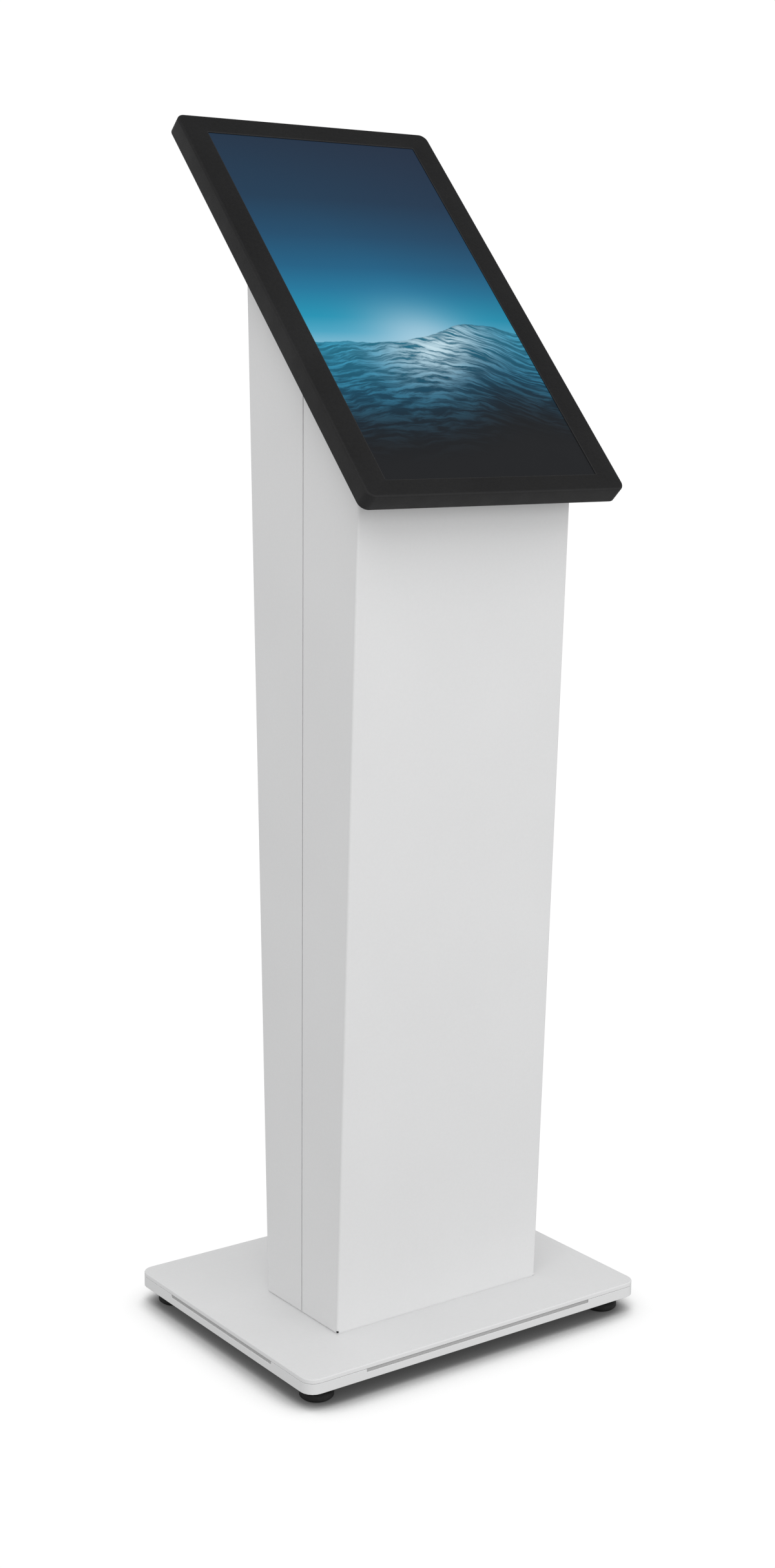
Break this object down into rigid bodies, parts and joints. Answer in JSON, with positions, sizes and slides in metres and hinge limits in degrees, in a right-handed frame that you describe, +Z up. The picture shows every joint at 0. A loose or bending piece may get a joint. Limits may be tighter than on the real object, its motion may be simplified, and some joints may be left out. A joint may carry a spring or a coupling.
{
  "type": "touchscreen kiosk",
  "caption": "Freestanding touchscreen kiosk: sloping upright display on a tapered two-shell steel column with a rear service door, on a weighted base with levelling feet.",
  "frame": {"origin": "on the floor, at the middle of the whole outline seen from above", "axes": "+Z up, the display and the front cover face -Y, +X is to the right for someone who stands in front and looks along +Y"},
  "size_m": [0.4466, 0.369, 1.306],
  "materials": {
    "white_paint": "fine textured powder coat, light grey white",
    "black_paint": "fine textured matt black powder coat",
    "zinc_steel": "bright zinc plated",
    "black_plastic": "matt moulded",
    "black_rubber": "matt",
    "circuit_board": "green solder mask",
    "touch_glass": "flat glass over a lit picture"
  },
  "bodies": {
    "kiosk": {"backlight_unit": "zinc_steel", "ballast_plate": "white_paint", "base_top_plate": "white_paint", "base_tray": "white_paint", "cable_grommet": "black_rubber", "column_flange": "zinc_steel", "controller_board": "circuit_board", "display_back_cover": "black_paint", "display_bezel": "black_paint", "display_mount_plate": "zinc_steel", "display_power_lead": "black_rubber", "door_frame": "white_paint", "equipment_shelf": "zinc_steel", "front_cover": "white_paint", "glass_gasket": "black_rubber", "head_plate": "zinc_steel", "hinge_lower_frame_leaf": "white_paint", "hinge_lower_pin": "zinc_steel", "hinge_upper_frame_leaf": "white_paint", "hinge_upper_pin": "zinc_steel", "key_board": "circuit_board", "lcd_panel": "touch_glass", "mains_lead": "black_rubber", "media_player": "black_plastic", "mount_screw_lower_left": "zinc_steel", "mount_screw_lower_right": "zinc_steel", "mount_screw_upper_left": "zinc_steel", "mount_screw_upper_right": "zinc_steel", "power_inlet": "black_plastic", "power_supply": "black_plastic", "rear_cover": "white_paint", "speaker_left": "black_plastic", "speaker_right": "black_plastic", "touch_glass": "touch_glass", "upright_left": "zinc_steel", "upright_right": "zinc_steel", "video_lead": "black_rubber"},
    "door": {"service_door": "white_paint", "hinge_lower_door_leaf": "white_paint", "hinge_upper_door_leaf": "white_paint", "lock_barrel": "zinc_steel", "lock_nut": "zinc_steel"},
    "lock": {"lock_core": "zinc_steel", "lock_cam": "zinc_steel"},
    "rocker": {"rocker_switch": "black_plastic"},
    "key_power": {"key_power": "black_plastic"},
    "key_menu": {"key_menu": "black_plastic"},
    "key_down": {"key_down": "black_plastic"},
    "key_up": {"key_up": "black_plastic"},
    "foot_front_left": {"foot_pad_front_left": "black_rubber"},
    "stud_front_left": {"foot_stud_front_left": "zinc_steel"},
    "foot_front_right": {"foot_pad_front_right": "black_rubber"},
    "stud_front_right": {"foot_stud_front_right": "zinc_steel"},
    "foot_rear_left": {"foot_pad_rear_left": "black_rubber"},
    "stud_rear_left": {"foot_stud_rear_left": "zinc_steel"},
    "foot_rear_right": {"foot_pad_rear_right": "black_rubber"},
    "stud_rear_right": {"foot_stud_rear_right": "zinc_steel"}
  },
  "joints": [
    {"name": "door_swing", "type": "hinge", "parent": "kiosk", "child": "door", "pos_m": [-0.10075, 0.0506, 0.29932], "axis": [0, 0.0341, 0.9994], "range_deg": [0, 110]},
    {"name": "lock_turn", "type": "hinge", "parent": "door", "child": "lock", "pos_m": [0.08, 0.05636, 0.57928], "axis": [0, -0.9994, 0.0341], "range_deg": [0, 90]},
    {"name": "rocker_tip", "type": "hinge", "parent": "kiosk", "child": "rocker", "pos_m": [-0.06, 0.04074, 0.1218], "axis": [-1, 0, 0], "range_deg": [0, 14]},
    {"name": "key_power_press", "type": "slide", "parent": "kiosk", "child": "key_power", "axis": [0, -0.7314, 0.682], "range_m": [0, 0.001], "stiffness_N_per_m": 800, "springref_m": -0.0002},
    {"name": "key_menu_press", "type": "slide", "parent": "kiosk", "child": "key_menu", "axis": [0, -0.7314, 0.682], "range_m": [0, 0.001], "stiffness_N_per_m": 800, "springref_m": -0.0002},
    {"name": "key_down_press", "type": "slide", "parent": "kiosk", "child": "key_down", "axis": [0, -0.7314, 0.682], "range_m": [0, 0.001], "stiffness_N_per_m": 800, "springref_m": -0.0002},
    {"name": "key_up_press", "type": "slide", "parent": "kiosk", "child": "key_up", "axis": [0, -0.7314, 0.682], "range_m": [0, 0.001], "stiffness_N_per_m": 800, "springref_m": -0.0002},
    {"name": "foot_front_left_slide", "type": "slide", "parent": "kiosk", "child": "foot_front_left", "axis": [0, 0, -1], "range_m": [0, 0.006]},
    {"name": "stud_front_left_turn", "type": "hinge", "parent": "foot_front_left", "child": "stud_front_left", "pos_m": [-0.19425, -0.14649, 0], "axis": [0, 0, -1], "range_deg": [0, 1440.01]},
    {"name": "foot_front_right_slide", "type": "slide", "parent": "kiosk", "child": "foot_front_right", "axis": [0, 0, -1], "range_m": [0, 0.006]},
    {"name": "stud_front_right_turn", "type": "hinge", "parent": "foot_front_right", "child": "stud_front_right", "pos_m": [0.19425, -0.14649, 0], "axis": [0, 0, -1], "range_deg": [0, 1440.01]},
    {"name": "foot_rear_left_slide", "type": "slide", "parent": "kiosk", "child": "foot_rear_left", "axis": [0, 0, -1], "range_m": [0, 0.006]},
    {"name": "stud_rear_left_turn", "type": "hinge", "parent": "foot_rear_left", "child": "stud_rear_left", "pos_m": [-0.19425, 0.14221, 0], "axis": [0, 0, -1], "range_deg": [0, 1440.01]},
    {"name": "foot_rear_right_slide", "type": "slide", "parent": "kiosk", "child": "foot_rear_right", "axis": [0, 0, -1], "range_m": [0, 0.006]},
    {"name": "stud_rear_right_turn", "type": "hinge", "parent": "foot_rear_right", "child": "stud_rear_right", "pos_m": [0.19425, 0.14221, 0], "axis": [0, 0, -1], "range_deg": [0, 1440.01]}
  ],
  "couplings": [
    {"joint": "stud_front_left_turn", "follows": "foot_front_left_slide", "rad_per_m": 4188.8},
    {"joint": "stud_front_right_turn", "follows": "foot_front_right_slide", "rad_per_m": 4188.8},
    {"joint": "stud_rear_left_turn", "follows": "foot_rear_left_slide", "rad_per_m": 4188.8},
    {"joint": "stud_rear_right_turn", "follows": "foot_rear_right_slide", "rad_per_m": 4188.8}
  ]
}
